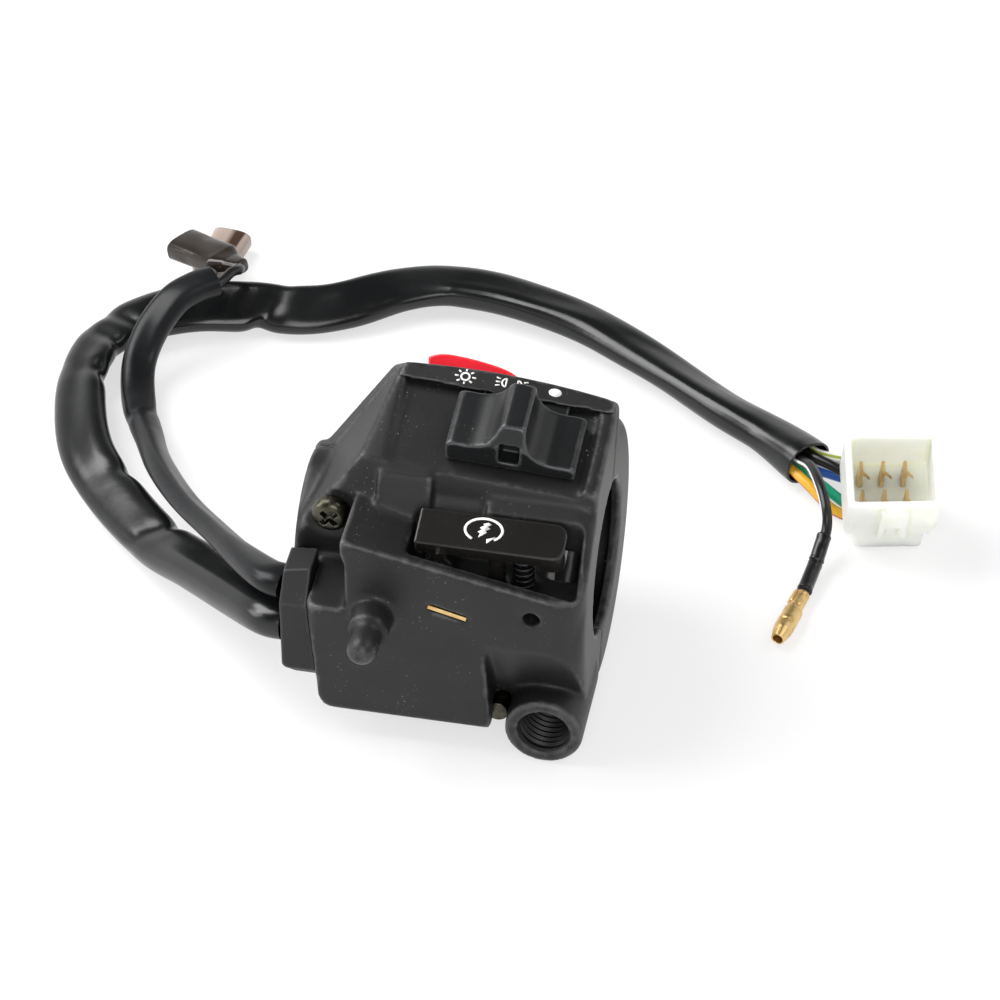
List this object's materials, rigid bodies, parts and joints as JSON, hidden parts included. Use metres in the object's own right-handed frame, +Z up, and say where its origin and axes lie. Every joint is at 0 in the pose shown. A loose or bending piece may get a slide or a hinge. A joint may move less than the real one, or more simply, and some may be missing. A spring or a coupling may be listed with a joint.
{
  "type": "handlebar switch cluster",
  "caption": "Right-hand handlebar switch cluster: split clamp casing with headlight slider, starter lever, red stop rocker, throttle cable boss and sleeved harness with connector.",
  "frame": {"origin": "on the axis of the bar bore, in the middle of the clamped length", "axes": "+X outboard along the bar axis, +Y away from the rider, +Z up; the part lies on its barrel and cable boss"},
  "size_m": [0.1741, 0.1463, 0.0624],
  "materials": {
    "housing_plastic": "textured",
    "knob_plastic": "satin",
    "lever_plastic": "gloss",
    "rocker_plastic": "gloss",
    "carriage_nylon": "satin",
    "laminate": "satin",
    "brass": "satin",
    "spring_steel": "satin",
    "pin_steel": "polished",
    "screw_steel": "satin",
    "grommet_rubber": "matte",
    "sleeve_pvc": "gloss",
    "boot_pvc": "gloss",
    "crimp_pvc": "satin",
    "wire_yellow_pvc": "satin",
    "wire_green_pvc": "satin",
    "wire_blue_pvc": "satin",
    "wire_black_pvc": "satin",
    "wire_white_pvc": "satin",
    "ground_pvc": "satin",
    "connector_nylon": "satin"
  },
  "bodies": {
    "casing": {"front_casing": "housing_plastic", "rear_casing": "housing_plastic", "screw_inboard": "screw_steel", "screw_outboard": "screw_steel", "cable_grommet": "grommet_rubber", "light_board": "laminate", "light_studs": "brass", "starter_pin": "pin_steel", "starter_spring": "spring_steel", "starter_strip": "brass", "stop_pin": "pin_steel", "stop_base": "laminate", "stop_contacts": "brass", "main_sleeve": "sleeve_pvc", "brake_sleeve": "sleeve_pvc", "wire_yellow": "wire_yellow_pvc", "wire_green": "wire_green_pvc", "wire_blue": "wire_blue_pvc", "wire_black": "wire_black_pvc", "wire_white": "wire_white_pvc", "ground_wire": "ground_pvc", "ground_crimps": "crimp_pvc", "bullet_terminal": "brass", "lead_wires": "wire_black_pvc", "connector_shell": "connector_nylon", "connector_blades": "brass", "spade_boots": "boot_pvc", "spade_terminals": "brass"},
    "light_slider": {"light_knob": "knob_plastic", "light_carriage": "carriage_nylon", "light_bridge": "brass", "light_detent_ball": "pin_steel", "light_detent_spring": "spring_steel"},
    "starter_thumb": {"starter_lever": "lever_plastic"},
    "starter_push": {"starter_plunger": "carriage_nylon", "starter_contact": "brass"},
    "stop_switch": {"stop_rocker": "rocker_plastic", "stop_bridge": "brass"}
  },
  "joints": [
    {"name": "light_slide", "type": "slide", "parent": "casing", "child": "light_slider", "axis": [-0.9978, 0, 0.0663], "range_m": [0, 0.009]},
    {"name": "starter_press", "type": "hinge", "parent": "casing", "child": "starter_thumb", "pos_m": [0.002, -0.0205, 0.0132], "axis": [0, 1, 0], "range_deg": [0, 8], "stiffness_Nm_per_rad": 0.15, "springref_deg": -5.73, "deforming": ["starter_spring"]},
    {"name": "starter_plunge", "type": "slide", "parent": "casing", "child": "starter_push", "axis": [0, 0, -1], "range_m": [0, 0.0015]},
    {"name": "stop_rock", "type": "hinge", "parent": "casing", "child": "stop_switch", "pos_m": [0.001, 0.01539, 0.02349], "axis": [0, 0.7071, -0.7071], "range_deg": [-16, 0]}
  ],
  "couplings": [
    {"joint": "starter_plunge", "follows": "starter_press", "m_per_rad": 0.0107}
  ]
}
